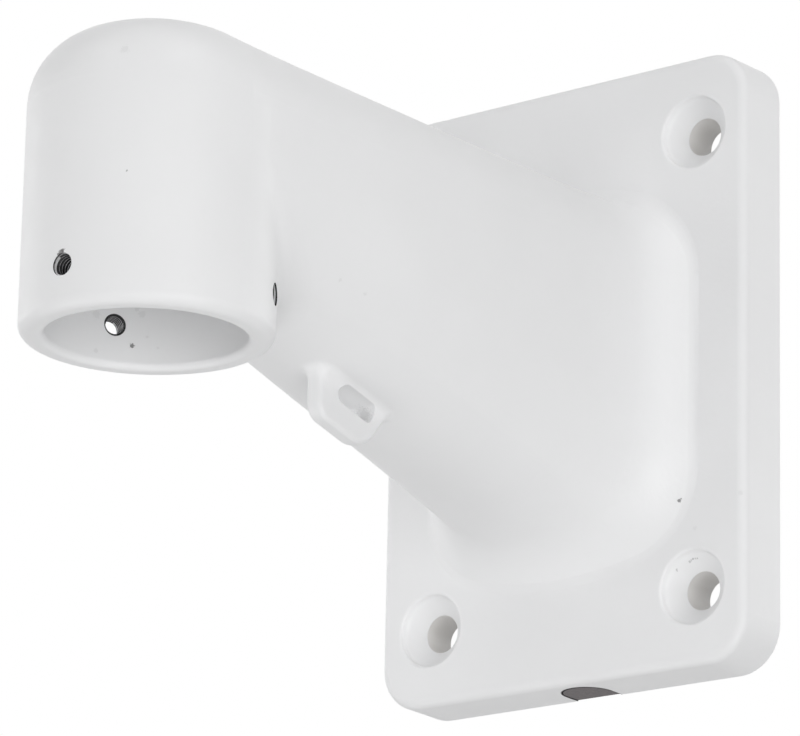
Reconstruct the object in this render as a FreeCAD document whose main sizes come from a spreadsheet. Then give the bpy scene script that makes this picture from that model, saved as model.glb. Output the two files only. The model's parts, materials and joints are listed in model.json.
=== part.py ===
import FreeCAD, Part
import math
import os

import Sketcher
from FreeCAD import Vector

# Wall bracket for a pendant camera: a flat wall plate, a hollow arm that flares into it, and an upright
# tube whose bore takes the camera's neck. The cable runs from the bore through the arm to the wall, or
# out of a notch in the plate's lower edge, which a rubber plug closes.
# Frame: the origin is the centre of the plate's wall face, +Y points into the wall, +Z is up, and the
# arm reaches towards -Y. Lengths are in millimetres and angles in degrees. A station is a distance in
# front of the wall, and a drop is a distance below the origin.

SIZES = {
    # wall plate, hollow behind
    "plate_width": 126.0,
    "plate_height": 177.0,
    "plate_depth": 17.0,
    "plate_corner": 13.0,
    "plate_draft": 1.2,
    "plate_edge_round": 2.6,
    "plate_skin": 6.0,
    "plate_rim": 5.0,
    "rib_thickness": 3.0,
    "rib_offset": 20.0,
    "rib_setback": 1.0,
    # wall screws and their dished seats
    "screw_spacing_x": 90.4,
    "screw_spacing_z": 132.0,
    "screw_hole": 11.0,
    "seat_diameter": 20.8,
    "seat_floor_round": 2.2,
    "seat_depth": 5.9,
    "seat_lip_round": 0.9,
    "boss_diameter": 28.0,
    # upright tube
    "reach": 194.5,
    "tube_diameter": 65.8,
    "tube_drop": 33.2,
    "bore_diameter": 52.0,
    "rim_round": 3.0,
    "rim_inner_round": 1.8,
    # crown of the elbow and the arm
    "crown_height": 50.6,
    "crown_arc": 52.0,
    "crown_shoulder": 20.0,
    # arm, from the elbow to the flare at the plate
    "elbow_floor_drop": 6.0,
    "waist_station": 160.0,
    "waist_pinch": 1.7,
    "middle_station": 110.0,
    "middle_width": 67.2,
    "neck_width": 73.7,
    "neck_arc": 72.0,
    "neck_shoulder": 22.5,
    "flare_radius": 17.0,
    "base_floor_drop": 51.8,
    "base_floor_flare": 7.5,
    "base_arc": 110.0,
    "base_shoulder": 25.0,
    "base_fillet": 5.0,
    "valley_fillet": 14.0,
    "arm_wall": 5.0,
    # how deep the eyelet and the ribs are rooted in the arm's wall
    "root_depth": 4.0,
    # set screws that hold the camera's neck
    "set_screw_hole": 6.0,
    "set_screw_rise": 11.5,
    # eyelet under the arm for a safety cord
    "eyelet_front_station": 127.2,
    "eyelet_back_station": 107.5,
    "eyelet_back_lean": 12.0,
    "eyelet_depth": 13.2,
    "eyelet_thickness": 5.0,
    "eyelet_front_round": 5.0,
    "eyelet_back_round": 9.0,
    "eyelet_edge_round": 1.2,
    "eyelet_root_fillet": 4.0,
    "slot_setback": 4.8,
    "slot_centres": 9.8,
    "slot_width": 5.2,
    "slot_drop": 3.1,
    # cable notch in the lower edge of the plate, and its plug
    "notch_width": 15.0,
    "notch_depth": 13.0,
    "notch_offset": 2.4,
    "plug_clearance": 0.3,
    "plug_recess": 0.2,
    "plug_flange_width": 2.5,
    "plug_flange_thickness": 2.5,
    # how far a cutting profile reaches past the surface that it cuts
    "cut_margin": 1.0,
}
SET_SCREWS = 3
FLARE_STEPS = 4
FLARE_TURN = math.radians(60)
# how far the crown's arcs have opened towards the neck's, halfway from the middle to the neck
HALFWAY_SHARE = 0.125
# how much of a screw seat's upright wall its floor round may take, as a share of that round
FLOOR_ROUND_SHARE = 0.6

# How far a point of an edge may lie from where an edge is looked for: on an exact surface, on a fitted
# one, and beside the eyelet, where the arm's floor curves up. SLACK widens a region that edges lie in.
NEAR = 0.01
FITTED = 0.05
ROOT_BAND = 0.6
SLACK = 1.0
EDGE_SAMPLES = 4


class Length:
    """A size as its present number and as the expression that ties it to the sheet."""

    def __init__(self, value, text):
        self.value = float(value)
        self.text = text

    def __float__(self):
        return self.value

    def _joined(self, other, sign, value):
        text = other.text if isinstance(other, Length) else repr(float(other))
        return Length(value, f"({self.text} {sign} {text})")

    def __add__(self, other):
        return self._joined(other, "+", self.value + float(other))

    def __sub__(self, other):
        return self._joined(other, "-", self.value - float(other))

    def __mul__(self, other):
        return self._joined(other, "*", self.value * float(other))

    def __truediv__(self, other):
        return self._joined(other, "/", self.value / float(other))

    def __neg__(self):
        return Length(-self.value, f"(0 - {self.text})")


def make_sheet(doc):
    """The driving sizes, one alias a row."""
    sheet = doc.addObject("Spreadsheet::Sheet", "sizes")
    for row, (alias, value) in enumerate(SIZES.items(), start=1):
        sheet.set(f"A{row}", alias)
        sheet.set(f"B{row}", str(value))
        sheet.setAlias(f"B{row}", alias)
    doc.recompute()
    return {alias: Length(sheet.get(alias), f"sizes.{alias}") for alias in SIZES}


def origin_feature(body, role):
    """One of the body's own base planes or axes."""
    for feature in body.Origin.OriginFeatures:
        if feature.Role == role:
            return feature
    raise ValueError(f"no {role} in {body.Name}")


def new_sketch(body, name, role, offset=None):
    """A sketch on a base plane of the body, moved along that plane's normal by a size."""
    sketch = body.newObject("Sketcher::SketchObject", name)
    sketch.AttachmentSupport = [(origin_feature(body, role), "")]
    sketch.MapMode = "FlatFace"
    if offset is not None:
        sketch.setExpression("AttachmentOffset.Base.z", offset.text)
    return sketch


def dimension(sketch, name, size, kind, *references):
    """A named constraint that follows a size."""
    sketch.addConstraint(Sketcher.Constraint(kind, *references, float(size)))
    sketch.renameConstraint(sketch.ConstraintCount - 1, name)
    sketch.setExpression(f"Constraints.{name}", size.text)


def place_point(sketch, name, geometry, vertex, across, up):
    """Ties one vertex of a sketch to its distances from the sketch's origin."""
    dimension(sketch, f"{name}_across", across, "DistanceX", -1, 1, geometry, vertex)
    dimension(sketch, f"{name}_up", up, "DistanceY", -1, 1, geometry, vertex)


def add_polygon(sketch, name, corners):
    """A closed outline through corners that are given as pairs of sizes."""
    first, count = sketch.GeometryCount, len(corners)
    points = [Vector(float(across), float(up), 0) for across, up in corners]
    for index, point in enumerate(points):
        sketch.addGeometry(Part.LineSegment(point, points[(index + 1) % count]), False)
    for index in range(count):
        following = first + (index + 1) % count
        sketch.addConstraint(Sketcher.Constraint("Coincident", first + index, 2, following, 1))
    for index, (across, up) in enumerate(corners):
        place_point(sketch, f"{name}_{index}", first + index, 1, across, up)


def add_circle(sketch, name, across, up, radius):
    """A circle at a place given by two sizes."""
    centre = Vector(float(across), float(up), 0)
    index = sketch.addGeometry(Part.Circle(centre, Vector(0, 0, 1), float(radius)), False)
    place_point(sketch, name, index, 3, across, up)
    dimension(sketch, f"{name}_radius", radius, "Radius", index)


def add_rounded_rectangle(sketch, name, width, height, corner):
    """A rectangle about the sketch's origin with equal round corners."""
    right, top, radius = float(width) / 2, float(height) / 2, float(corner)
    inner_x, inner_y = right - radius, top - radius
    quarter = math.pi / 2
    corners = [(inner_x, inner_y), (-inner_x, inner_y), (-inner_x, -inner_y), (inner_x, -inner_y)]
    sides = [
        (Vector(right, -inner_y, 0), Vector(right, inner_y, 0)),
        (Vector(inner_x, top, 0), Vector(-inner_x, top, 0)),
        (Vector(-right, inner_y, 0), Vector(-right, -inner_y, 0)),
        (Vector(-inner_x, -top, 0), Vector(inner_x, -top, 0)),
    ]
    for index, (start, end) in enumerate(sides):
        sketch.addGeometry(Part.LineSegment(start, end), False)
        circle = Part.Circle(Vector(*corners[index], 0), Vector(0, 0, 1), radius)
        sketch.addGeometry(Part.ArcOfCircle(circle, index * quarter, (index + 1) * quarter), False)
    for index in range(8):
        sketch.addConstraint(Sketcher.Constraint("Tangent", index, 2, (index + 1) % 8, 1))
    for index, kind in enumerate(("Vertical", "Horizontal", "Vertical", "Horizontal")):
        sketch.addConstraint(Sketcher.Constraint(kind, 2 * index))
    for index in (3, 5, 7):
        sketch.addConstraint(Sketcher.Constraint("Equal", 1, index))
    dimension(sketch, f"{name}_corner", corner, "Radius", 1)
    dimension(sketch, f"{name}_right", width / 2, "DistanceX", -1, 1, 0, 1)
    dimension(sketch, f"{name}_left", width / 2, "DistanceX", 4, 1, -1, 1)
    dimension(sketch, f"{name}_top", height / 2, "DistanceY", -1, 1, 2, 1)
    dimension(sketch, f"{name}_bottom", height / 2, "DistanceY", 6, 1, -1, 1)


class Section:
    """The arm's cross-section at one station: crown and floor arcs, four round shoulders, upright sides."""

    def __init__(self, station, width, crown, floor_drop, arc, shoulder):
        self.station = station
        self.half = width / 2
        self.crown = crown
        self.floor_drop = floor_drop
        self.arc = arc
        self.shoulder = shoulder

    def inset(self, wall):
        """The same section, a wall thickness further in."""
        width = (self.half - wall) * 2
        drop = self.floor_drop - wall
        return Section(self.station, width, self.crown - wall, drop, self.arc - wall, self.shoulder - wall)

    def turn(self):
        """The angle at which the crown's arc passes into a shoulder, and how far the shoulder's centre
        lies above the crown arc's centre."""
        across = float(self.half) - float(self.shoulder)
        between = float(self.arc) - float(self.shoulder)
        rise = math.sqrt(between**2 - across**2)
        return math.atan2(rise, across), rise


def arc_about(across, up, radius, start, end):
    circle = Part.Circle(Vector(across, up, 0), Vector(0, 0, 1), radius)
    return Part.ArcOfCircle(circle, start, end)


def draw_section(body, name, section):
    """The closed outline of one arm section, as a sketch of its own."""
    sketch = new_sketch(body, name, "XZ_Plane", section.station)
    half, arc, shoulder = float(section.half), float(section.arc), float(section.shoulder)
    crown_centre = float(section.crown) - arc
    floor_centre = arc - float(section.floor_drop)
    angle, rise = section.turn()
    inner = half - shoulder
    upper, lower = crown_centre + rise, floor_centre - rise
    turn = math.pi
    outline = [
        Part.LineSegment(Vector(half, lower, 0), Vector(half, upper, 0)),
        arc_about(inner, upper, shoulder, 0, angle),
        arc_about(0, crown_centre, arc, angle, turn - angle),
        arc_about(-inner, upper, shoulder, turn - angle, turn),
        Part.LineSegment(Vector(-half, upper, 0), Vector(-half, lower, 0)),
        arc_about(-inner, lower, shoulder, turn, turn + angle),
        arc_about(0, floor_centre, arc, turn + angle, 2 * turn - angle),
        arc_about(inner, lower, shoulder, 2 * turn - angle, 2 * turn),
    ]
    for edge in outline:
        sketch.addGeometry(edge, False)
    for index in range(8):
        sketch.addConstraint(Sketcher.Constraint("Tangent", index, 2, (index + 1) % 8, 1))
    for index in (0, 4):
        sketch.addConstraint(Sketcher.Constraint("Vertical", index))
    for index in (2, 6):
        sketch.addConstraint(Sketcher.Constraint("PointOnObject", index, 3, -2))
    for index in (3, 5, 7):
        sketch.addConstraint(Sketcher.Constraint("Equal", 1, index))
    sketch.addConstraint(Sketcher.Constraint("Equal", 2, 6))
    dimension(sketch, "shoulder", section.shoulder, "Radius", 1)
    dimension(sketch, "arc", section.arc, "Radius", 2)
    dimension(sketch, "right", section.half, "DistanceX", -1, 1, 0, 1)
    dimension(sketch, "left", section.half, "DistanceX", 4, 1, -1, 1)
    dimension(sketch, "crown_centre", section.arc - section.crown, "DistanceY", 2, 3, -1, 1)
    dimension(sketch, "floor_centre", section.arc - section.floor_drop, "DistanceY", -1, 1, 6, 3)
    return sketch


def draw_elbow_profile(body, name, section, foot_drop):
    """Half of the upright tube and its crown, to be turned about the tube's axis."""
    sketch = new_sketch(body, name, "XZ_Plane", section.station)
    half, arc, shoulder = float(section.half), float(section.arc), float(section.shoulder)
    foot, crown = -float(foot_drop), float(section.crown)
    crown_centre = crown - arc
    angle, rise = section.turn()
    upper = crown_centre + rise
    outline = [
        Part.LineSegment(Vector(0, foot, 0), Vector(half, foot, 0)),
        Part.LineSegment(Vector(half, foot, 0), Vector(half, upper, 0)),
        arc_about(half - shoulder, upper, shoulder, 0, angle),
        arc_about(0, crown_centre, arc, angle, math.pi / 2),
        Part.LineSegment(Vector(0, crown, 0), Vector(0, foot, 0)),
    ]
    for edge in outline:
        sketch.addGeometry(edge, False)
    for index, kind in enumerate(("Coincident", "Tangent", "Tangent", "Coincident", "Coincident")):
        sketch.addConstraint(Sketcher.Constraint(kind, index, 2, (index + 1) % 5, 1))
    sketch.addConstraint(Sketcher.Constraint("Horizontal", 0))
    sketch.addConstraint(Sketcher.Constraint("Vertical", 1))
    sketch.addConstraint(Sketcher.Constraint("PointOnObject", 0, 1, -2))
    sketch.addConstraint(Sketcher.Constraint("PointOnObject", 3, 2, -2))
    sketch.addConstraint(Sketcher.Constraint("PointOnObject", 3, 3, -2))
    dimension(sketch, "shoulder", section.shoulder, "Radius", 2)
    dimension(sketch, "arc", section.arc, "Radius", 3)
    dimension(sketch, "right", section.half, "DistanceX", -1, 1, 0, 2)
    dimension(sketch, "foot", foot_drop, "DistanceY", 0, 1, -1, 1)
    dimension(sketch, "crown_centre", section.arc - section.crown, "DistanceY", 3, 3, -1, 1)
    return sketch


def draw_half_disc(body, name, drop, centre_station, radius):
    """The wall side of the tube's round section, at a height."""
    sketch = new_sketch(body, name, "XY_Plane", -drop)
    centre, size = -float(centre_station), float(radius)
    sketch.addGeometry(arc_about(0, centre, size, 0, math.pi), False)
    sketch.addGeometry(Part.LineSegment(Vector(-size, centre, 0), Vector(size, centre, 0)), False)
    sketch.addConstraint(Sketcher.Constraint("Coincident", 0, 2, 1, 1))
    sketch.addConstraint(Sketcher.Constraint("Coincident", 1, 2, 0, 1))
    sketch.addConstraint(Sketcher.Constraint("Horizontal", 1))
    sketch.addConstraint(Sketcher.Constraint("PointOnObject", 0, 3, -2))
    sketch.addConstraint(Sketcher.Constraint("PointOnObject", 0, 3, 1))
    dimension(sketch, "radius", radius, "Radius", 0)
    dimension(sketch, "centre", centre_station, "DistanceY", 0, 3, -1, 1)
    return sketch


def extrude(body, kind, name, profile, length, reverse=False, midplane=False):
    """A pad or pocket of a sketch by a size."""
    feature = body.newObject(f"PartDesign::{kind}", name)
    feature.Profile = profile
    feature.setExpression("Length", length.text)
    feature.Reversed = reverse
    feature.SideType = "Symmetric" if midplane else "One side"
    body.Document.recompute()
    return feature


def add_fillet(body, name, radius, chosen):
    """Rounds the edges of the body's last feature that a test picks out."""
    base = body.Tip
    edges = [f"Edge{index}" for index, edge in enumerate(base.Shape.Edges, start=1)
             if not edge.Degenerated and chosen(edge)]
    if not edges:
        raise ValueError(f"{name} found no edge")
    feature = body.newObject("PartDesign::Fillet", name)
    feature.Base = (base, edges)
    feature.setExpression("Radius", radius.text)
    body.Document.recompute()
    return feature


def sampled(edge):
    """A few points along an edge."""
    first, last = edge.ParameterRange
    step = (last - first) / EDGE_SAMPLES
    return [edge.valueAt(first + step * number) for number in range(EDGE_SAMPLES + 1)]


def floor_drop_at(size, station):
    """How far below the origin the straight floor of the arm lies at a station."""
    fall = (size["base_floor_drop"] - size["elbow_floor_drop"]) / (size["reach"] - size["plate_depth"])
    return size["elbow_floor_drop"] + fall * (size["reach"] - station)


def arm_sections(size, flared=True):
    """The arm's outer sections: the elbow, a slight waist behind the tube, the middle, one halfway to the
    neck, the neck, and the flare, whose sides curve outwards on a round profile from the neck and meet the
    plate at a steep slant."""
    depth, crown, radius = size["plate_depth"], size["crown_height"], size["flare_radius"]
    middle, neck = size["middle_station"], depth + radius * math.sin(FLARE_TURN)
    arc, shoulder = size["crown_arc"], size["crown_shoulder"]
    neck_arc, neck_shoulder = size["neck_arc"], size["neck_shoulder"]
    waist_width = size["tube_diameter"] - size["waist_pinch"] * 2
    sections = [
        Section(size["reach"], size["tube_diameter"], crown, size["elbow_floor_drop"], arc, shoulder)]
    for station, width, share in (
        (size["waist_station"], waist_width, 0.0),
        (middle, size["middle_width"], 0.0),
        ((middle + neck) / 2, (size["middle_width"] + size["neck_width"]) / 2, HALFWAY_SHARE),
    ):
        opened_arc = arc + (neck_arc - arc) * share
        opened_shoulder = shoulder + (neck_shoulder - shoulder) * share
        drop = floor_drop_at(size, station)
        sections.append(Section(station, width, crown, drop, opened_arc, opened_shoulder))
    growth = (size["neck_width"] - size["middle_width"]) / (middle - neck)
    for step in range(FLARE_STEPS + 1):
        angle, share = FLARE_TURN * step / FLARE_STEPS, (step / FLARE_STEPS)**2
        station = depth + radius * (math.sin(FLARE_TURN) - math.sin(angle))
        width = size["neck_width"] + growth * (neck - station)
        drop = floor_drop_at(size, station)
        if flared:
            width = width + radius * 2 * (1 - math.cos(angle))
            drop = drop + size["base_floor_flare"] * ((1 - math.cos(angle)) / (1 - math.cos(FLARE_TURN)))
        opened_arc = neck_arc + (size["base_arc"] - neck_arc) * share
        opened_shoulder = neck_shoulder + (size["base_shoulder"] - neck_shoulder) * share
        sections.append(Section(station, width, crown, drop, opened_arc, opened_shoulder))
    return sections


def add_loft(body, name, sections):
    sketches = [draw_section(body, f"{name}_{index}", section) for index, section in enumerate(sections)]
    loft = body.newObject("PartDesign::AdditiveLoft", name)
    loft.Profile = sketches[0]
    loft.Sections = sketches[1:]
    body.Document.recompute()


def add_arm(body, name, sections, foot_drop):
    """The arm with its elbow and upright tube, solid. The elbow's outer half is the arm's first section
    turned about the tube's axis, and its wall side is a half round that ends inside the arm, half-way up
    the crown."""
    elbow = sections[0]
    neck = len(sections) - FLARE_STEPS - 1
    add_loft(body, f"{name}_flare", sections[neck:])
    add_loft(body, f"{name}_beam", sections[:neck + 1])
    profile = draw_elbow_profile(body, f"{name}_elbow_profile", elbow, foot_drop)
    turned = body.newObject("PartDesign::Revolution", f"{name}_elbow")
    turned.Profile = profile
    turned.ReferenceAxis = (profile, ["V_Axis"])
    turned.Angle = 180
    turned.Reversed = True
    body.Document.recompute()
    half_round = draw_half_disc(body, f"{name}_tube_outline", foot_drop, elbow.station, elbow.half)
    extrude(body, "Pad", f"{name}_tube", half_round, foot_drop + elbow.crown / 2)
    return profile


def add_plate(body, size):
    """The wall plate with its drafted sides and round front edge."""
    outline = new_sketch(body, "plate_outline", "XZ_Plane")
    add_rounded_rectangle(outline, "plate", size["plate_width"], size["plate_height"], size["plate_corner"])
    plate = extrude(body, "Pad", "plate", outline, size["plate_depth"])
    plate.setExpression("TaperAngle", f"-{size['plate_draft'].text}")
    body.Document.recompute()
    front = -float(size["plate_depth"])
    add_fillet(body, "plate_edge", size["plate_edge_round"], lambda edge: all(
        abs(point.y - front) < NEAR for point in sampled(edge)))


def blend_arm(body, size):
    """Rounds the arm into the plate and the tube into the arm's floor, and rounds the tube's rim."""
    front, axis = -float(size["plate_depth"]), -float(size["reach"])
    radius, rim = float(size["tube_diameter"]) / 2, -float(size["tube_drop"])
    half_base = float(arm_sections(size)[-1].half) + SLACK
    lowest = -float(size["base_floor_drop"] + size["base_floor_flare"]) - SLACK
    highest = float(size["crown_height"]) + SLACK

    def from_axis(point):
        return math.hypot(point.x, point.y - axis)

    def meets_plate(point):
        return abs(point.y - front) < NEAR and abs(point.x) < half_base and lowest < point.z < highest

    def meets_floor(point):
        return abs(from_axis(point) - radius) < FITTED and point.z > rim + SLACK

    def on_rim(point):
        return abs(point.z - rim) < NEAR and abs(from_axis(point) - radius) < NEAR

    add_fillet(body, "valley", size["valley_fillet"], lambda edge: all(map(meets_floor, sampled(edge)))
               and edge.BoundBox.YMin > axis + NEAR)
    add_fillet(body, "base_blend", size["base_fillet"], lambda edge: all(map(meets_plate, sampled(edge))))
    add_fillet(body, "rim", size["rim_round"], lambda edge: all(map(on_rim, sampled(edge))))


def add_eyelet(body, size):
    """The eyelet under the arm: a tab with a slot along the arm's floor, rounded all over."""
    front, back = size["eyelet_front_station"], size["eyelet_back_station"]
    depth, thickness = size["eyelet_depth"], size["eyelet_thickness"]
    sunk = size["root_depth"]
    heel = back - size["eyelet_back_lean"]
    outline = new_sketch(body, "eyelet_outline", "YZ_Plane")
    add_polygon(outline, "corner", [
        (-front, sunk - floor_drop_at(size, front)),
        (-front, -(floor_drop_at(size, front) + depth)),
        (-back, -(floor_drop_at(size, back) + depth)),
        (-heel, sunk - floor_drop_at(size, heel)),
    ])
    extrude(body, "Pad", "eyelet", outline, thickness, midplane=True)
    half = float(thickness) / 2

    def corner_at(station):
        def chosen(edge):
            across, up = -float(station), -float(floor_drop_at(size, station) + depth)
            return all(math.hypot(point.y - across, point.z - up) < FITTED for point in sampled(edge))
        return chosen

    def below_floor(point):
        return -point.z - float(floor_drop_at(size, Length(-point.y, "")))

    def on_tab(point):
        return abs(point.x) < half + NEAR and -float(front) - SLACK < point.y < -float(heel) + SLACK

    def tab_edge(edge):
        """The long edges of the tab's two faces."""
        points = sampled(edge)
        return all(abs(abs(point.x) - half) < NEAR for point in points) and all(map(on_tab, points)) \
            and max(map(below_floor, points)) > SLACK

    def root_edge(edge):
        """Where the tab meets the arm's floor."""
        points = sampled(edge)
        return all(map(on_tab, points)) and all(abs(below_floor(point)) < ROOT_BAND for point in points)

    add_fillet(body, "eyelet_front_corner", size["eyelet_front_round"], corner_at(front))
    add_fillet(body, "eyelet_back_corner", size["eyelet_back_round"], corner_at(back))
    add_fillet(body, "eyelet_edges", size["eyelet_edge_round"], tab_edge)
    add_fillet(body, "eyelet_root", size["eyelet_root_fillet"], root_edge)


def cut_slot(body, size):
    """The eyelet's slot, along the arm's floor."""
    middle = size["eyelet_back_station"] + size["slot_setback"]
    first, last = middle + size["slot_centres"] / 2, middle - size["slot_centres"] / 2
    centres = [(-station, -(floor_drop_at(size, station) + size["slot_drop"])) for station in (first, last)]
    start, end = (Vector(float(across), float(up), 0) for across, up in centres)
    lean = math.atan2(end.y - start.y, end.x - start.x)
    radius = size["slot_width"] / 2
    side = Vector(-math.sin(lean), math.cos(lean), 0) * float(radius)
    quarter = math.pi / 2
    sketch = new_sketch(body, "slot_outline", "YZ_Plane")
    sketch.addGeometry(arc_about(start.x, start.y, float(radius), lean + quarter, lean + 3 * quarter), False)
    sketch.addGeometry(Part.LineSegment(start - side, end - side), False)
    sketch.addGeometry(arc_about(end.x, end.y, float(radius), lean - quarter, lean + quarter), False)
    sketch.addGeometry(Part.LineSegment(end + side, start + side), False)
    for index in range(4):
        sketch.addConstraint(Sketcher.Constraint("Tangent", index, 2, (index + 1) % 4, 1))
    sketch.addConstraint(Sketcher.Constraint("Equal", 0, 2))
    dimension(sketch, "radius", radius, "Radius", 0)
    place_point(sketch, "first", 0, 3, *centres[0])
    place_point(sketch, "last", 2, 3, *centres[1])
    beside = size["eyelet_root_fillet"] + size["cut_margin"]
    extrude(body, "Pocket", "slot", sketch, size["eyelet_thickness"] + beside * 2, midplane=True)


def hollow_plate(body, size):
    """The plate's hollow back: its rim, the round pillars of the screws and the ribs."""
    inside = size["plate_depth"] - size["plate_skin"]
    width, height = size["plate_width"] - size["plate_rim"] * 2, size["plate_height"] - size["plate_rim"] * 2
    pan = new_sketch(body, "pan_outline", "XZ_Plane")
    add_rounded_rectangle(pan, "pan", width, height, size["plate_corner"] - size["plate_rim"])
    extrude(body, "Pocket", "pan", pan, inside, reverse=True)
    pillars = new_sketch(body, "pillar_outline", "XZ_Plane")
    for index, (right, up) in enumerate(((1, 1), (-1, 1), (-1, -1), (1, -1))):
        across, rise = size["screw_spacing_x"] / 2 * right, size["screw_spacing_z"] / 2 * up
        add_circle(pillars, f"pillar_{index}", across, rise, size["boss_diameter"] / 2)
    extrude(body, "Pad", "pillars", pillars, inside)
    ribs = new_sketch(body, "rib_outline", "XZ_Plane", size["rib_setback"])
    half, offset = size["rib_thickness"] / 2, size["rib_offset"]
    sink = size["plate_rim"] / 2
    side_start = arm_sections(size, flared=False)[-1].half - size["root_depth"]
    side_end = size["plate_width"] / 2 - sink
    crown_start, top = size["crown_height"] - size["root_depth"], size["plate_height"] / 2 - sink
    floor_start = size["base_floor_drop"] - size["root_depth"]
    number = 0
    for sign in (1, -1):
        near, far = (offset - half) * sign, (offset + half) * sign
        for start, end in ((crown_start, top), (-floor_start, -top)):
            add_polygon(ribs, f"rib{number}", [(near, start), (far, start), (far, end), (near, end)])
            number += 1
        start, end = side_start * sign, side_end * sign
        add_polygon(ribs, f"rib{number}", [(start, -half), (end, -half), (end, half), (start, half)])
        number += 1
    extrude(body, "Pad", "ribs", ribs, inside - size["rib_setback"])


def build_core(doc, size):
    """The hollow inside the arm, from the bore in the tube to the plate's back. Its elbow is as wide as
    the bore, and it has neither waist nor flare."""
    body = doc.addObject("PartDesign::Body", "arm_core")
    sections = arm_sections(size, flared=False)
    elbow, _, *rest = (section.inset(size["arm_wall"]) for section in sections)
    elbow.half = size["bore_diameter"] / 2
    add_arm(body, "core", [elbow, *rest], size["tube_drop"] + size["cut_margin"])
    mouth = draw_section(body, "core_mouth", rest[-1])
    extrude(body, "Pad", "core_opening", mouth, size["plate_skin"] + size["cut_margin"], reverse=True)
    return body


def add_screw_seats(body, size):
    """The four screw holes, each in a dished seat with a round lip."""
    depth, seat, hole = size["plate_depth"], size["seat_diameter"] / 2, size["screw_hole"] / 2
    axis, beyond = size["screw_spacing_x"] / 2, size["cut_margin"]
    wall = size["seat_lip_round"] + size["seat_floor_round"] * FLOOR_ROUND_SHARE
    seats = []
    for name, height in (("top", size["screw_spacing_z"] / 2), ("bottom", -(size["screw_spacing_z"] / 2))):
        sketch = new_sketch(body, f"seat_profile_{name}", "XY_Plane", height)
        add_polygon(sketch, "seat", [
            (axis, -(depth + beyond)),
            (axis + seat, -(depth + beyond)),
            (axis + seat, -(depth - wall)),
            (axis + hole, -(depth - size["seat_depth"])),
            (axis + hole, beyond),
            (axis, beyond),
        ])
        groove = body.newObject("PartDesign::Groove", f"seat_{name}")
        groove.Profile = sketch
        groove.ReferenceAxis = (sketch, ["Edge6"])
        groove.Angle = 360
        body.Document.recompute()
        seats.append(groove)
    both = body.newObject("PartDesign::Mirrored", "seats")
    both.Originals = seats
    both.MirrorPlane = (origin_feature(body, "YZ_Plane"), [""])
    body.Tip = both
    body.Document.recompute()

    def rim_at(station):
        def chosen(edge):
            circle = edge.Curve
            return isinstance(circle, Part.Circle) and abs(circle.Radius - float(seat)) < NEAR \
                and abs(circle.Center.y + float(station)) < NEAR
        return chosen

    add_fillet(body, "seat_floors", size["seat_floor_round"], rim_at(depth - wall))
    add_fillet(body, "seat_lips", size["seat_lip_round"], rim_at(depth))


def add_set_screws(body, size, tube_profile):
    """Radial holes that hold the camera's neck, evenly round the tube."""
    clear = size["cut_margin"]
    station = size["reach"] + size["tube_diameter"] / 2 + clear
    sketch = new_sketch(body, "set_screw_outline", "XZ_Plane", station)
    height = size["set_screw_rise"] - size["tube_drop"]
    add_circle(sketch, "hole", Length(0, "0"), height, size["set_screw_hole"] / 2)
    into_bore = size["tube_diameter"] / 2 - size["bore_diameter"] / 2 + size["set_screw_hole"] / 2
    hole = extrude(body, "Pocket", "set_screw_hole", sketch, clear + into_bore)
    pattern = body.newObject("PartDesign::PolarPattern", "set_screw_holes")
    pattern.Originals = [hole]
    pattern.Axis = (tube_profile, ["V_Axis"])
    pattern.Angle = 360
    pattern.Occurrences = SET_SCREWS
    body.Tip = pattern
    body.Document.recompute()


def draw_notch(body, name, size, gap, drop):
    """The cable notch's outline seen from below, narrower by a gap: a half round, open to the wall."""
    radius, offset = size["notch_width"] / 2 - gap, size["notch_offset"]
    centre = -(size["notch_depth"] - size["notch_width"] / 2)
    end = -gap if float(gap) else size["cut_margin"]
    across, right, back = float(offset), float(radius), float(end)
    sketch = new_sketch(body, name, "XY_Plane", -drop)
    sketch.addGeometry(arc_about(across, float(centre), right, math.pi, 2 * math.pi), False)
    corners = [Vector(across + right, float(centre), 0), Vector(across + right, back, 0),
               Vector(across - right, back, 0), Vector(across - right, float(centre), 0)]
    for start, finish in zip(corners, corners[1:]):
        sketch.addGeometry(Part.LineSegment(start, finish), False)
    for index, kind in enumerate(("Tangent", "Coincident", "Coincident", "Tangent")):
        sketch.addConstraint(Sketcher.Constraint(kind, index, 2, (index + 1) % 4, 1))
    for index, kind in ((1, "Vertical"), (2, "Horizontal")):
        sketch.addConstraint(Sketcher.Constraint(kind, index))
    dimension(sketch, "radius", radius, "Radius", 0)
    place_point(sketch, "centre", 0, 3, offset, centre)
    dimension(sketch, "end", end, "DistanceY", -1, 1, 1, 2)
    return sketch


def build_casting(doc, size):
    """The bracket: one casting, hollow from the wall to the bore."""
    body = doc.addObject("PartDesign::Body", "bracket_casting")
    body.Label = "bracket_casting"
    add_plate(body, size)
    tube_profile = add_arm(body, "arm", arm_sections(size), size["tube_drop"])
    blend_arm(body, size)
    add_eyelet(body, size)
    cut_slot(body, size)
    hollow_plate(body, size)
    hollow = body.newObject("PartDesign::Boolean", "arm_hollow")
    hollow.setObjects([build_core(doc, size)])
    hollow.Type = "Cut"
    doc.recompute()
    add_screw_seats(body, size)
    add_set_screws(body, size, tube_profile)
    rim, bore = -float(size["tube_drop"]), float(size["bore_diameter"]) / 2
    add_fillet(body, "rim_inside", size["rim_inner_round"], lambda edge: all(
        abs(point.z - rim) < NEAR and abs(math.hypot(point.x, point.y + float(size["reach"])) - bore) < NEAR
        for point in sampled(edge)))
    below = size["cut_margin"]
    notch = draw_notch(body, "notch_outline", size, Length(0, "0"), size["plate_height"] / 2 + below)
    height = size["plate_rim"] + size["plug_flange_thickness"] + below
    extrude(body, "Pocket", "notch", notch, height, reverse=True)
    return body


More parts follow.
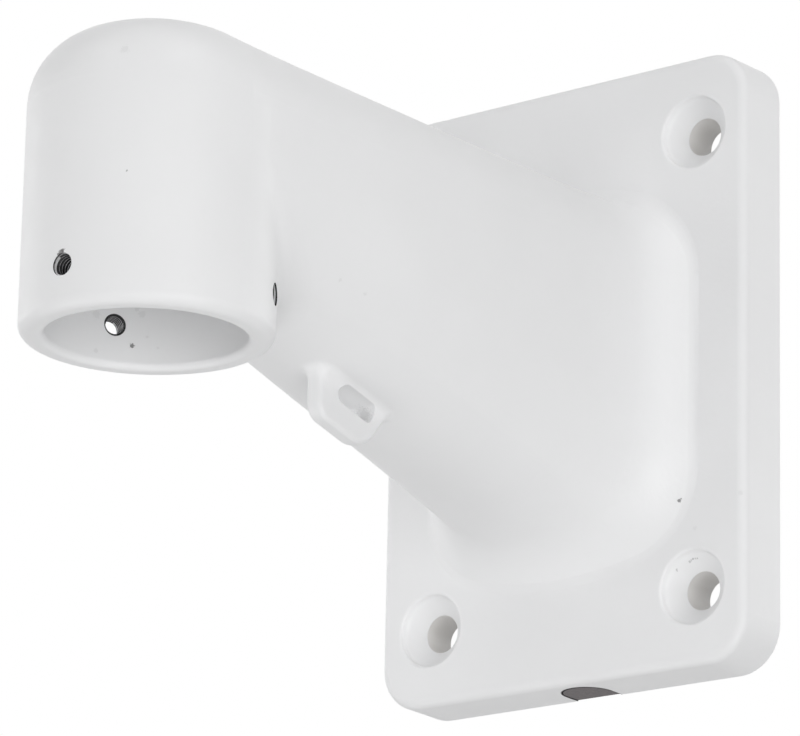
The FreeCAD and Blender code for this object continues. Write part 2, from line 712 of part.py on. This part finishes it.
def build_plug(doc, size):
    """The rubber plug in the notch, held by a flange behind the plate's lower rim."""
    body = doc.addObject("PartDesign::Body", "cable_notch_plug")
    body.Label = "cable_notch_plug"
    gap, recess = size["plug_clearance"], size["plug_recess"]
    foot, wall_top = size["plate_height"] / 2 - recess, size["plate_height"] / 2 - size["plate_rim"]
    outline = draw_notch(body, "plug_outline", size, gap, foot)
    tall = size["plate_rim"] - recess + size["plug_flange_thickness"]
    extrude(body, "Pad", "plug", outline, tall)
    reach = size["notch_width"] / 2 + size["plug_flange_width"]
    front = size["plate_depth"] - size["plate_skin"] - gap
    left, right = size["notch_offset"] - reach, size["notch_offset"] + reach
    flange = new_sketch(body, "flange_outline", "XY_Plane", -wall_top)
    add_polygon(flange, "flange", [(left, -front), (right, -front), (right, -gap), (left, -gap)])
    extrude(body, "Pad", "flange", flange, size["plug_flange_thickness"])
    return body


def main():
    doc = FreeCAD.newDocument("wall_bracket")
    size = make_sheet(doc)
    pieces = [build_casting(doc, size), build_plug(doc, size)]
    doc.recompute()
    for item in doc.Objects:
        if "Invalid" in item.State or "Error" in item.State:
            raise RuntimeError(f"{item.Name}: {item.State}")
    os.makedirs("parts", exist_ok=True)
    for piece in pieces:
        shape = piece.Shape
        if shape.isNull() or not shape.isValid():
            raise RuntimeError(f"{piece.Label} has no valid shape")
        shape.exportStep(f"parts/{piece.Label}.step")
        print(piece.Label, len(shape.Solids), "solid", round(shape.Volume), "mm3")


main()
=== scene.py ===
import json
import math

import bmesh
import bpy
from mathutils import Matrix, Vector


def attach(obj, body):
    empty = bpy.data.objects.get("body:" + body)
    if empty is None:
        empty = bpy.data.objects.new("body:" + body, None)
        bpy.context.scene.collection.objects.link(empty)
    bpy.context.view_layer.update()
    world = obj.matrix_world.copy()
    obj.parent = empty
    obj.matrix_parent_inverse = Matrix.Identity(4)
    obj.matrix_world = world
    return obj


# A white powder-coated wall bracket with a rubber plug in its lower edge, seen from below and from the
# right, as on a wall, against white. Lengths are in metres unless a name or a comment says otherwise.

MM = 0.001
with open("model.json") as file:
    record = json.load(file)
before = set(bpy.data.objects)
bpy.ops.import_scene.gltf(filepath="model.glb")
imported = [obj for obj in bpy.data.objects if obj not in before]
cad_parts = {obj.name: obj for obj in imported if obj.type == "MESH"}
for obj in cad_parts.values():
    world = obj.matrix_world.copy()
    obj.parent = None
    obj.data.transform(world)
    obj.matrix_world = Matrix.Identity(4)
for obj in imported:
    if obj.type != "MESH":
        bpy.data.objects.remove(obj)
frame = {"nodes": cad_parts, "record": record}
NODES = frame["nodes"]
MOUNTS = {mount["name"]: mount for mount in frame["record"]["mounts"]}
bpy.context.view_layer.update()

# Camera, found by matching the plate's corners, the screw holes and the tube's rim
IMAGE_WIDTH, IMAGE_HEIGHT = 800, 736
FOCAL_PIXELS = 5007.9
PRINCIPAL_PIXEL = (404.8, 394.09)
CAMERA_AZIMUTH, CAMERA_ELEVATION, CAMERA_ROLL = (math.radians(angle) for angle in (38.27, -16.59, 1.19))
CAMERA_DISTANCE = 1393.7 * MM
CAMERA_TARGET = Vector((-22.12, -60.0, -10.47)) * MM
SENSOR_WIDTH_MM = 36.0
CLIP_START, CLIP_END = 0.05, 100

# Floor, far below, and how much it glows where it is seen, which brings it near white
FLOOR_HEIGHT = -2.6
FLOOR_SIZE = 30.0
FLOOR_COLOUR = (0.86, 0.86, 0.86)
FLOOR_ROUGHNESS = 0.9
FLOOR_SPECULAR = 0.1
FLOOR_LIFT = 0.6

# Light: the world's soft light, and soft boxes all round, each with its place, side and power
WHITE = (1.0, 1.0, 1.0)
AMBIENT = 0.3
SOFT_BOXES = {
    "top_softbox": ((0.1, -0.3, 2.3), 1.2, 5.2),
    "right_top_softbox": ((1.3, -0.5, 1.7), 1.2, 8.3),
    "front_top_softbox": ((-0.5, -1.5, 1.6), 1.2, 6.0),
    "left_softbox": ((-2.2, -0.3, 0.3), 1.2, 7.6),
    "left_front_softbox": ((-1.6, -1.6, 0.4), 1.2, 5.1),
    "low_right_softbox": ((1.9, -0.8, -0.6), 1.2, 16.4),
    "low_front_softbox": ((0.55, -0.75, -0.68), 0.6, 2.2),
    "low_left_softbox": ((-1.0, -1.0, -1.2), 1.2, 5.0),
    "near_front_softbox": ((-0.15, -0.9, -0.3), 0.35, 0.3),
    "back_softbox": ((0.4, 2.4, 0.5), 1.2, 16.0),
}
SOFT_BOX_AIM = Vector((0, -0.1, -0.02))

# The Mix node's sockets for colours, which share their names with its sockets for other values
MIX_FIRST, MIX_SECOND, MIX_RESULT = 6, 7, 2
# Levels of the noise that are stretched to the whole range of a value
WIDE_SPAN, NARROW_SPAN, STREAK_SPAN, DUST_SPAN = (0.3, 0.7), (0.35, 0.65), (0.35, 0.7), (0.4, 0.75)
NONE_TO_ALL = (0, 1)

# Powder coat: its two tones, its clouds and patches of gloss, and its orange peel
COAT_COLOUR = (0.866, 0.868, 0.874)
COAT_SHADE = (0.848, 0.850, 0.856)
COAT_CLOUD_SIZE = 45 * MM
COAT_GLOSS_SIZE = 6 * MM
COAT_ROUGHNESS = (0.42, 0.52)
# Bump layers: lump size, detail and depth
COAT_BUMP = ((2.2 * MM, 2, 0.035 * MM), (0.7 * MM, 2, 0.02 * MM))

# Small marks on the paint, and one patch of painted shade: place in millimetres, radius in millimetres,
# and how dark, from 0 to 1
MARKS_AND_SHADE = [
    # a dot and a faint smudge on the tube
    ((16.5, -222.9, 1.1), 0.28, 0.5),
    ((14.4, -223.0, 33.8), 1.1, 0.07),
    # a spot in the bore, and dust round the screw hole there
    ((-19.8, -177.6, -26.9), 0.6, 0.8),
    ((-24.7, -186.5, -19.7), 1.2, 0.07),
    ((-24.6, -186.1, -29.6), 0.7, 0.09),
    ((-19.1, -176.9, -16.8), 0.7, 0.09),
    ((-17.1, -174.9, -24.3), 0.4, 0.09),
    ((-14.8, -173.1, -27.2), 0.4, 0.07),
    ((-18.2, -175.9, -18.1), 0.9, 0.08),
    # a short scratch and a spot in the lower right screw seat, and faint specks on the plate near it
    ((42.2, -13.5, -57.9), 0.34, 0.35),
    ((42.8, -13.6, -57.6), 0.26, 0.3),
    ((43.4, -13.7, -57.3), 0.30, 0.4),
    ((44.1, -13.6, -57.2), 0.24, 0.35),
    ((44.7, -13.5, -57.2), 0.28, 0.35),
    ((38.2, -14.0, -59.7), 0.34, 0.32),
    ((46.3, -17.0, -49.7), 0.7, 0.06),
    ((61.3, -16.7, -41.9), 0.7, 0.07),
    # a chip where the flare meets the plate
    ((41.8, -18.0, -41.4), 0.5, 0.75),
    ((42.3, -17.9, -40.9), 0.34, 0.6),
    # painted shade in the end of the eyelet's slot, and specks on the arm's side
    ((-0.5, -104.9, -31.0), 2.6, 0.16),
    ((-0.5, -104.9, -31.0), 1.6, 0.14),
    ((25.8, -148.8, -9.6), 0.5, 0.08),
    ((26.8, -139.7, -11.2), 0.5, 0.08),
    # chipped paint at the front screw hole
    ((-0.5, -227.4, -18.4), 0.85, 0.85),
    ((0.0, -227.4, -18.0), 0.5, 0.85),
    ((-1.3, -227.4, -18.9), 0.55, 0.8),
]
# The colour of the marks, and of the painted shade at the end of the eyelet's slot
MARK_AND_SHADE_COLOUR = (0.10, 0.095, 0.095)
# A mark's ragged edge: the size and detail of the noise, and how far it stretches the distance
MARK_NOISE_SIZE = 0.5 * MM
MARK_NOISE_DETAIL = 3
MARK_STRETCH = (0.6, 1.5)
# A mark fades out between these shares of its radius
MARK_FULL, MARK_GONE = 0.7, 1.2

# The cable notch, with near-black painted shade in its seam round the plug: its axis, its radius and the
# seam's top
NOTCH_ACROSS, NOTCH_INWARDS = 2.4 * MM, -5.5 * MM
NOTCH_RADIUS = 7.5 * MM
SEAM_SHADE_REACH = 0.16 * MM
SEAM_TOP = -80 * MM
# The near-black colour of the painted shade in the seam
SEAM_SHADE_COLOUR = (0.012, 0.012, 0.012)

# Past the mouths of the wall-screw holes the coat is thin and warmer
SCREW_HOLES = MOUNTS["wall_bolts"]["dims"]
SCREW_ACROSS = SCREW_HOLES["spacing_x_mm"] / 2 * MM
SCREW_RISE = SCREW_HOLES["spacing_y_mm"] / 2 * MM
THIN_COAT_DEPTH = 0.1 * MM
THIN_COAT_RADIUS = SCREW_HOLES["hole_r_mm"] * MM + THIN_COAT_DEPTH
THIN_COAT_START = -10.9 * MM
THIN_COAT_COLOUR = (0.78, 0.768, 0.752)

# Rubber plug, with dust on it and painted shade along its rim at the seam
RUBBER_COLOUR = (0.118, 0.108, 0.112)
RUBBER_DUST_COLOUR = (0.155, 0.138, 0.136)
RUBBER_DUST_SIZE = 1.4 * MM
RUBBER_DUST_DETAIL = 4
RUBBER_GLOSS_SIZE = 0.6 * MM
RUBBER_ROUGHNESS = (0.6, 0.78)
RUBBER_BUMP = ((0.35 * MM, 3, 0.03 * MM),)
PLUG_RADIUS = 7.2 * MM
PLUG_SHADE_RIM = 0.32 * MM

# Bare alloy of the threads, made in a dark copy for painted shade and a bright copy for painted
# highlights
METAL_STREAK_SIZE = 0.5 * MM
METAL_STREAK_DETAIL = 4
METAL_GLOSS_SIZE = 0.3 * MM
METAL_ROUGHNESS_SPREAD = 0.25
METAL_BUMP = ((0.2 * MM, 3, 0.02 * MM),)

# M6 threads in the set-screw holes, as cut liners just inside the holes' plain walls
THREAD_PITCH = 1.0 * MM
THREAD_CREST_RADIUS = 2.46 * MM
THREAD_ROOT_RADIUS = 2.99 * MM
THREAD_TURN_STEPS = 48
THREAD_OUTER_SETBACK = 0.5 * MM
THREAD_INNER_SETBACK = 0.05 * MM
# The thread's outline over one pitch: share of the pitch, and radius
THREAD_OUTLINE = (
    (0.0, THREAD_ROOT_RADIUS),
    (0.41, THREAD_CREST_RADIUS),
    (0.59, THREAD_CREST_RADIUS),
    (1.0, THREAD_ROOT_RADIUS),
)
# The first thread's edge, a painted highlight that is widest on one side: a sleeve from just behind the
# hole's mouth back to a flat ring, the ring's greatest width, the least share of that width, and the
# angle at which it is widest
LIP_START, LIP_SETBACK = 0.02 * MM, 0.46 * MM
LIP_WIDTH = 0.33 * MM
LIP_LEAST_SHARE = 0.08
LIP_MIDDLE = math.radians(205)
# A liner's material slots, and which strip of faces carries the painted highlight, in the thread as in
# the lip
FLANK, CREST = 0, 1
HIGHLIT_STRIP = 1
MERGE_DISTANCE = 0.002 * MM


def link(tree, source, target):
    tree.links.new(source, target)


def new_material(name):
    """A material with a Principled shader, and its node tree."""
    material = bpy.data.materials.new(name)
    material.use_nodes = True
    tree = material.node_tree
    tree.nodes.clear()
    output = tree.nodes.new("ShaderNodeOutputMaterial")
    shader = tree.nodes.new("ShaderNodeBsdfPrincipled")
    link(tree, shader.outputs["BSDF"], output.inputs["Surface"])
    return material, tree, shader


def math_node(tree, operation, first, second=0.0):
    node = tree.nodes.new("ShaderNodeMath")
    node.operation = operation
    for socket, value in zip(node.inputs, (first, second)):
        if isinstance(value, (int, float)):
            socket.default_value = value
        else:
            link(tree, value, socket)
    return node.outputs["Value"]


def seen_directly(tree):
    """1 for the camera, for reflections and through glass, and 0 for light that falls on things."""
    path = tree.nodes.new("ShaderNodeLightPath")
    seen = math_node(tree, "MAXIMUM", path.outputs["Is Camera Ray"], path.outputs["Is Glossy Ray"])
    return math_node(tree, "MAXIMUM", seen, path.outputs["Is Transmission Ray"])


def object_point(tree):
    return tree.nodes.new("ShaderNodeTexCoord").outputs["Object"]


def noise(tree, point, size, detail):
    """Smooth noise whose lumps are about a size across."""
    node = tree.nodes.new("ShaderNodeTexNoise")
    node.inputs["Scale"].default_value = 1 / size
    node.inputs["Detail"].default_value = detail
    link(tree, point, node.inputs["Vector"])
    return node.outputs["Fac"]


def remap(tree, value, low, high, to_low, to_high, smooth=False):
    node = tree.nodes.new("ShaderNodeMapRange")
    node.interpolation_type = "SMOOTHSTEP" if smooth else "LINEAR"
    for name, number in (("From Min", low), ("From Max", high), ("To Min", to_low), ("To Max", to_high)):
        node.inputs[name].default_value = number
    link(tree, value, node.inputs["Value"])
    return node.outputs["Result"]


def patches(tree, point, size, span, levels, detail=2):
    """A value that wanders between two levels, in patches of about a size."""
    return remap(tree, noise(tree, point, size, detail), *span, *levels)


def mix_colour(tree, share, first, second):
    """A blend of two colours, each a colour or an output."""
    node = tree.nodes.new("ShaderNodeMix")
    node.data_type = "RGBA"
    link(tree, share, node.inputs["Factor"])
    for socket, value in ((node.inputs[MIX_FIRST], first), (node.inputs[MIX_SECOND], second)):
        if isinstance(value, tuple):
            socket.default_value = (*value, 1)
        else:
            link(tree, value, socket)
    return node.outputs[MIX_RESULT]


def add_bump(tree, shader, point, layers):
    """Bump in several layers, one on top of another, each with its lump size, detail and depth."""
    below = None
    for size, detail, depth in layers:
        node = tree.nodes.new("ShaderNodeBump")
        node.inputs["Strength"].default_value = 1.0
        node.inputs["Distance"].default_value = depth
        link(tree, noise(tree, point, size, detail), node.inputs["Height"])
        if below is not None:
            link(tree, below, node.inputs["Normal"])
        below = node.outputs["Normal"]
    link(tree, below, shader.inputs["Normal"])


def distance_from(tree, point, place):
    node = tree.nodes.new("ShaderNodeVectorMath")
    node.operation = "DISTANCE"
    link(tree, point, node.inputs[0])
    node.inputs[1].default_value = place
    return node.outputs["Value"]


def length_of(tree, first, second):
    """The length of a line from its two legs."""
    squares = (math_node(tree, "MULTIPLY", leg, leg) for leg in (first, second))
    return math_node(tree, "SQRT", math_node(tree, "ADD", *squares))


def axes_of(tree, point):
    parts = tree.nodes.new("ShaderNodeSeparateXYZ")
    link(tree, point, parts.inputs["Vector"])
    return parts.outputs["X"], parts.outputs["Y"], parts.outputs["Z"]


def with_marks_and_shade(tree, point, colour):
    """The colour with the small dark marks and the painted shade in the eyelet's slot on it."""
    stretch = patches(tree, point, MARK_NOISE_SIZE, WIDE_SPAN, MARK_STRETCH, MARK_NOISE_DETAIL)
    for place, radius, darkness in MARKS_AND_SHADE:
        away = distance_from(tree, point, Vector(place) * MM)
        ragged = math_node(tree, "MULTIPLY", away, stretch)
        full, gone = MARK_FULL * radius * MM, MARK_GONE * radius * MM
        share = remap(tree, ragged, full, gone, darkness, 0, smooth=True)
        colour = mix_colour(tree, share, colour, MARK_AND_SHADE_COLOUR)
    return colour


def from_notch_axis(tree, point):
    """How far a point lies from the middle of the cable notch, seen from below."""
    right, inwards, _ = axes_of(tree, point)
    across = math_node(tree, "SUBTRACT", right, NOTCH_ACROSS)
    ahead = math_node(tree, "MINIMUM", math_node(tree, "SUBTRACT", inwards, NOTCH_INWARDS), 0.0)
    return length_of(tree, across, ahead)


def seam_painted_shade(tree, point):
    """Where the seam's painted shade goes: 1 on the walls of the cable notch and just past their edge,
    and 0 elsewhere.
    """
    reach = NOTCH_RADIUS + SEAM_SHADE_REACH
    inside = remap(tree, from_notch_axis(tree, point), reach, reach + SEAM_SHADE_REACH, 1, 0, smooth=True)
    low = math_node(tree, "LESS_THAN", axes_of(tree, point)[2], SEAM_TOP)
    return math_node(tree, "MULTIPLY", inside, low)


def thin_coat(tree, point):
    """1 on the walls of the four wall-screw holes, and 0 elsewhere."""
    right, inwards, up = axes_of(tree, point)
    across = math_node(tree, "SUBTRACT", math_node(tree, "ABSOLUTE", right), SCREW_ACROSS)
    rise = math_node(tree, "SUBTRACT", math_node(tree, "ABSOLUTE", up), SCREW_RISE)
    inside = math_node(tree, "LESS_THAN", length_of(tree, across, rise), THIN_COAT_RADIUS)
    return math_node(tree, "MULTIPLY", inside, math_node(tree, "GREATER_THAN", inwards, THIN_COAT_START))


def powder_coat():
    """Satin white powder coat: a fine orange peel, faint clouds, small dark marks, painted shade in the
    eyelet's slot, and near-black painted shade in the cable notch's seam.
    """
    material, tree, shader = new_material("white_powder_coat")
    point = object_point(tree)
    clouds = patches(tree, point, COAT_CLOUD_SIZE, NARROW_SPAN, NONE_TO_ALL)
    colour = mix_colour(tree, clouds, COAT_COLOUR, COAT_SHADE)
    colour = with_marks_and_shade(tree, point, colour)
    colour = mix_colour(tree, thin_coat(tree, point), colour, THIN_COAT_COLOUR)
    # Near-black painted shade on the notch's walls, in the seam round the plug
    colour = mix_colour(tree, seam_painted_shade(tree, point), colour, SEAM_SHADE_COLOUR)
    link(tree, colour, shader.inputs["Base Color"])
    roughness = patches(tree, point, COAT_GLOSS_SIZE, WIDE_SPAN, COAT_ROUGHNESS)
    link(tree, roughness, shader.inputs["Roughness"])
    add_bump(tree, shader, point, COAT_BUMP)
    return material


def rubber():
    """Matt dark rubber with faint moulding grain, a little dust and painted shade along its rim."""
    material, tree, shader = new_material("dark_rubber")
    point = object_point(tree)
    dust = patches(tree, point, RUBBER_DUST_SIZE, DUST_SPAN, NONE_TO_ALL, RUBBER_DUST_DETAIL)
    colour = mix_colour(tree, dust, RUBBER_COLOUR, RUBBER_DUST_COLOUR)
    # Painted shade along the plug's rim, where it meets the notch
    rim = remap(tree, from_notch_axis(tree, point), PLUG_RADIUS - PLUG_SHADE_RIM, PLUG_RADIUS, 0, 1)
    colour = mix_colour(tree, rim, colour, SEAM_SHADE_COLOUR)
    link(tree, colour, shader.inputs["Base Color"])
    roughness = patches(tree, point, RUBBER_GLOSS_SIZE, WIDE_SPAN, RUBBER_ROUGHNESS)
    link(tree, roughness, shader.inputs["Roughness"])
    add_bump(tree, shader, point, RUBBER_BUMP)
    return material


def cut_metal(name, dull, bright, metallic, smoothest):
    """Bare cast alloy as a tap leaves it, streaked between two tones."""
    material, tree, shader = new_material(name)
    point = object_point(tree)
    streaks = patches(tree, point, METAL_STREAK_SIZE, STREAK_SPAN, NONE_TO_ALL, METAL_STREAK_DETAIL)
    link(tree, mix_colour(tree, streaks, dull, bright), shader.inputs["Base Color"])
    shader.inputs["Metallic"].default_value = metallic
    levels = (smoothest, smoothest + METAL_ROUGHNESS_SPREAD)
    roughness = patches(tree, point, METAL_GLOSS_SIZE, WIDE_SPAN, levels)
    link(tree, roughness, shader.inputs["Roughness"])
    add_bump(tree, shader, point, METAL_BUMP)
    return material


def pale_floor():
    """A plain pale studio floor, lifted towards white only where it is seen."""
    material, tree, shader = new_material("studio_floor")
    shader.inputs["Base Color"].default_value = (*FLOOR_COLOUR, 1)
    shader.inputs["Roughness"].default_value = FLOOR_ROUGHNESS
    shader.inputs["Specular IOR Level"].default_value = FLOOR_SPECULAR
    shader.inputs["Emission Color"].default_value = (*WHITE, 1)
    lift = math_node(tree, "MULTIPLY", seen_directly(tree), FLOOR_LIFT)
    link(tree, lift, shader.inputs["Emission Strength"])
    return material


def dress(name, material):
    """Gives a CAD node its finish."""
    data = NODES[name].data
    data.materials.clear()
    data.materials.append(material)
    data.polygons.foreach_set("material_index", [0] * len(data.polygons))


def thread_liner(name, mount, shaded_flank_metal, highlit_crest_metal):
    """A helical V groove along a set-screw hole, and the first thread's edge near the hole's mouth, with
    painted highlights on the crests and the edge and dark flanks that are partly painted shade.
    """
    outward = Vector(mount["axis"]).normalized()
    centre = Vector(mount["pos_m"])
    half = mount["dims"]["length_mm"] * MM / 2
    start, end = -half + THREAD_INNER_SETBACK, half - THREAD_OUTER_SETBACK
    up = Vector((0, 0, 1))
    across = up.cross(outward)
    mesh = bmesh.new()

    def point_at(along, radius, angle):
        around = across * math.cos(angle) + up * math.sin(angle)
        return mesh.verts.new(centre + outward * along + around * radius)

    def angle_at(step):
        return 2 * math.pi * step / THREAD_TURN_STEPS

    rows = []
    steps = int((end - start) / THREAD_PITCH * THREAD_TURN_STEPS)
    for step in range(steps + 1):
        advance = start + THREAD_PITCH * (step / THREAD_TURN_STEPS - 1)
        rows.append([
            point_at(min(max(advance + share * THREAD_PITCH, start), end), radius, angle_at(step))
            for share, radius in THREAD_OUTLINE
        ])
    for row, following in zip(rows, rows[1:]):
        for index in range(len(row) - 1):
            face = mesh.faces.new((row[index], row[index + 1], following[index + 1], following[index]))
            # The highlit strip is a painted highlight; the other strips are dark, partly as painted shade
            face.material_index = CREST if index == HIGHLIT_STRIP else FLANK

    rings = []
    for step in range(THREAD_TURN_STEPS):
        angle = angle_at(step)
        width = LIP_WIDTH * max(LIP_LEAST_SHARE, math.cos((angle - LIP_MIDDLE) / 2))
        outline = (
            (LIP_START, THREAD_ROOT_RADIUS),
            (LIP_SETBACK, THREAD_ROOT_RADIUS),
            (LIP_SETBACK, THREAD_ROOT_RADIUS - width),
        )
        rings.append([point_at(half - setback, radius, angle) for setback, radius in outline])
    for ring, following in zip(rings, rings[1:] + rings[:1]):
        for index in range(len(ring) - 1):
            face = mesh.faces.new((ring[index], following[index], following[index + 1], ring[index + 1]))
            # The highlit strip is the lip's painted highlight; the sleeve is dark, partly as painted
            # shade
            face.material_index = CREST if index == HIGHLIT_STRIP else FLANK

    bmesh.ops.remove_doubles(mesh, verts=mesh.verts, dist=MERGE_DISTANCE)
    bmesh.ops.dissolve_degenerate(mesh, edges=mesh.edges, dist=MERGE_DISTANCE)
    data = bpy.data.meshes.new(name)
    mesh.to_mesh(data)
    mesh.free()
    data.materials.append(shaded_flank_metal)
    data.materials.append(highlit_crest_metal)
    piece = bpy.data.objects.new(name, data)
    bpy.context.scene.collection.objects.link(piece)
    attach(piece, "root")


def add_camera():
    """A camera at the photograph's angle and distance, shifted to its framing."""
    back = Vector((
        math.sin(CAMERA_AZIMUTH) * math.cos(CAMERA_ELEVATION),
        -math.cos(CAMERA_AZIMUTH) * math.cos(CAMERA_ELEVATION),
        math.sin(CAMERA_ELEVATION),
    ))
    right = Vector((math.cos(CAMERA_AZIMUTH), math.sin(CAMERA_AZIMUTH), 0))
    up = back.cross(right)
    rolled_right = right * math.cos(CAMERA_ROLL) + up * math.sin(CAMERA_ROLL)
    rolled_up = up * math.cos(CAMERA_ROLL) - right * math.sin(CAMERA_ROLL)
    data = bpy.data.cameras.new("camera")
    data.sensor_fit = "HORIZONTAL"
    data.sensor_width = SENSOR_WIDTH_MM
    data.lens = FOCAL_PIXELS / IMAGE_WIDTH * SENSOR_WIDTH_MM
    data.shift_x = (IMAGE_WIDTH / 2 - PRINCIPAL_PIXEL[0]) / IMAGE_WIDTH
    data.shift_y = (PRINCIPAL_PIXEL[1] - IMAGE_HEIGHT / 2) / IMAGE_WIDTH
    data.clip_start = CLIP_START
    data.clip_end = CLIP_END
    camera = bpy.data.objects.new("camera", data)
    axes = Matrix((rolled_right, rolled_up, back)).transposed()
    camera.matrix_world = Matrix.Translation(CAMERA_TARGET + back * CAMERA_DISTANCE) @ axes.to_4x4()
    bpy.context.scene.collection.objects.link(camera)
    bpy.context.scene.camera = camera


def add_soft_box(name, place, side, power):
    data = bpy.data.lights.new(name, "AREA")
    data.shape = "SQUARE"
    data.size = side
    data.energy = power
    lamp = bpy.data.objects.new(name, data)
    lamp.location = place
    lamp.rotation_euler = (SOFT_BOX_AIM - Vector(place)).to_track_quat("-Z", "Y").to_euler()
    bpy.context.scene.collection.objects.link(lamp)


def add_world():
    """White to the camera and in reflections, and a plain soft light on everything else."""
    world = bpy.data.worlds.new("studio")
    bpy.context.scene.world = world
    world.use_nodes = True
    tree = world.node_tree
    tree.nodes.clear()
    output = tree.nodes.new("ShaderNodeOutputWorld")
    mix = tree.nodes.new("ShaderNodeMixShader")
    share, when_unseen, when_seen = mix.inputs
    link(tree, seen_directly(tree), share)
    for socket, strength in ((when_unseen, AMBIENT), (when_seen, 1.0)):
        background = tree.nodes.new("ShaderNodeBackground")
        background.inputs["Color"].default_value = (*WHITE, 1)
        background.inputs["Strength"].default_value = strength
        link(tree, background.outputs["Background"], socket)
    link(tree, mix.outputs["Shader"], output.inputs["Surface"])


def add_floor():
    data = bpy.data.meshes.new("studio_floor")
    half = FLOOR_SIZE / 2
    corners = [(-half, -half, 0), (half, -half, 0), (half, half, 0), (-half, half, 0)]
    data.from_pydata(corners, [], [(0, 1, 2, 3)])
    data.materials.append(pale_floor())
    floor = bpy.data.objects.new("studio_floor", data)
    floor.location = (0, 0, FLOOR_HEIGHT)
    bpy.context.scene.collection.objects.link(floor)


dress("bracket_casting", powder_coat())
dress("cable_notch_plug", rubber())

# The flanks are black, partly with the tap's oil and partly as painted shade deep in the holes; the
# crests and the first thread's edge are painted highlights
SHADED_OILY_ALLOY = cut_metal(
    "shaded_oily_alloy", dull=(0.003, 0.003, 0.0035), bright=(0.022, 0.021, 0.023), metallic=0.0, smoothest=0.55)
HIGHLIT_ALLOY = cut_metal(
    "highlit_alloy", dull=(0.55, 0.545, 0.56), bright=(0.88, 0.87, 0.89), metallic=0.5, smoothest=0.3)
for mount_name in ("set_screw_front", "set_screw_back_right", "set_screw_back_left"):
    thread_liner(f"{mount_name}_thread", MOUNTS[mount_name], SHADED_OILY_ALLOY, HIGHLIT_ALLOY)

add_camera()
add_world()
add_floor()
for box_name, (place, side, power) in SOFT_BOXES.items():
    add_soft_box(box_name, place, side, power)

bpy.context.scene.view_settings.view_transform = "Standard"
